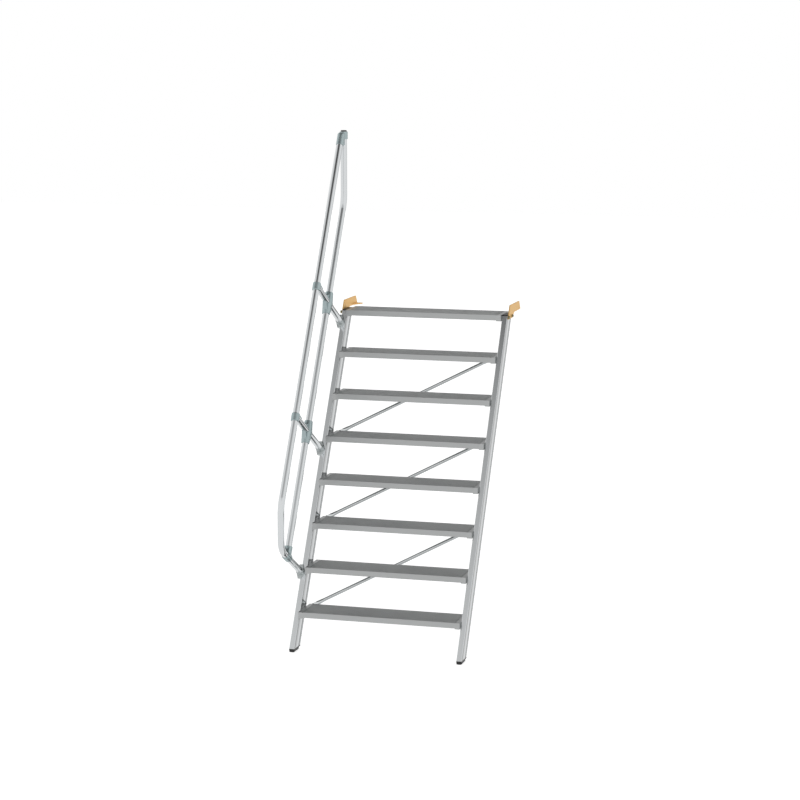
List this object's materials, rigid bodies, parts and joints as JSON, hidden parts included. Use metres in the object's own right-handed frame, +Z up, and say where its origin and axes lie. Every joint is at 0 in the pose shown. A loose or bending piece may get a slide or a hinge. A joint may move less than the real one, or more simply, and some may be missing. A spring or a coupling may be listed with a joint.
{
  "type": "aluminium stair with one handrail",
  "caption": "Straight steep aluminium stair with wide ribbed treads between two stringers, a tube handrail with knee rail on the left, rear braces and hook brackets.",
  "frame": {"origin": "on the seat of the left wall bracket, under its tab, at the height of the landing", "axes": "+Z up, +Y level, the way the stair climbs, +X to the right of someone who climbs it"},
  "size_m": [1.1065, 1.5699, 3.0551],
  "materials": {
    "aluminium_profile": "extruded, satin",
    "rail_tube": "drawn tube, satin",
    "cast_fitting": "cast, fine matt",
    "zinc_steel": "yellow zinc plated steel",
    "black_plastic": "moulded, matt"
  },
  "bodies": {
    "root": {"left_stringer": "aluminium_profile", "right_stringer": "aluminium_profile", "tread_1": "aluminium_profile", "tread_2": "aluminium_profile", "tread_3": "aluminium_profile", "tread_4": "aluminium_profile", "tread_5": "aluminium_profile", "tread_6": "aluminium_profile", "tread_7": "aluminium_profile", "tread_8": "aluminium_profile", "handrail": "rail_tube", "knee_rail": "rail_tube", "top_post": "rail_tube", "middle_post": "rail_tube", "brace_1": "rail_tube", "brace_2": "rail_tube", "brace_3": "rail_tube", "tread_1_ends": "cast_fitting", "tread_2_ends": "cast_fitting", "tread_3_ends": "cast_fitting", "tread_4_ends": "cast_fitting", "tread_5_ends": "cast_fitting", "tread_6_ends": "cast_fitting", "tread_7_ends": "cast_fitting", "tread_8_ends": "cast_fitting", "top_post_foot": "cast_fitting", "middle_post_foot": "cast_fitting", "bottom_post_foot": "cast_fitting", "top_tee": "cast_fitting", "middle_tee": "cast_fitting", "top_cross": "cast_fitting", "middle_cross": "cast_fitting", "lower_tee": "cast_fitting", "end_fitting": "cast_fitting", "left_wall_bracket": "zinc_steel", "right_wall_bracket": "zinc_steel", "left_foot": "black_plastic", "right_foot": "black_plastic", "left_top_cap": "black_plastic", "right_top_cap": "black_plastic", "upright_plug": "black_plastic"}
  },
  "joints": []
}
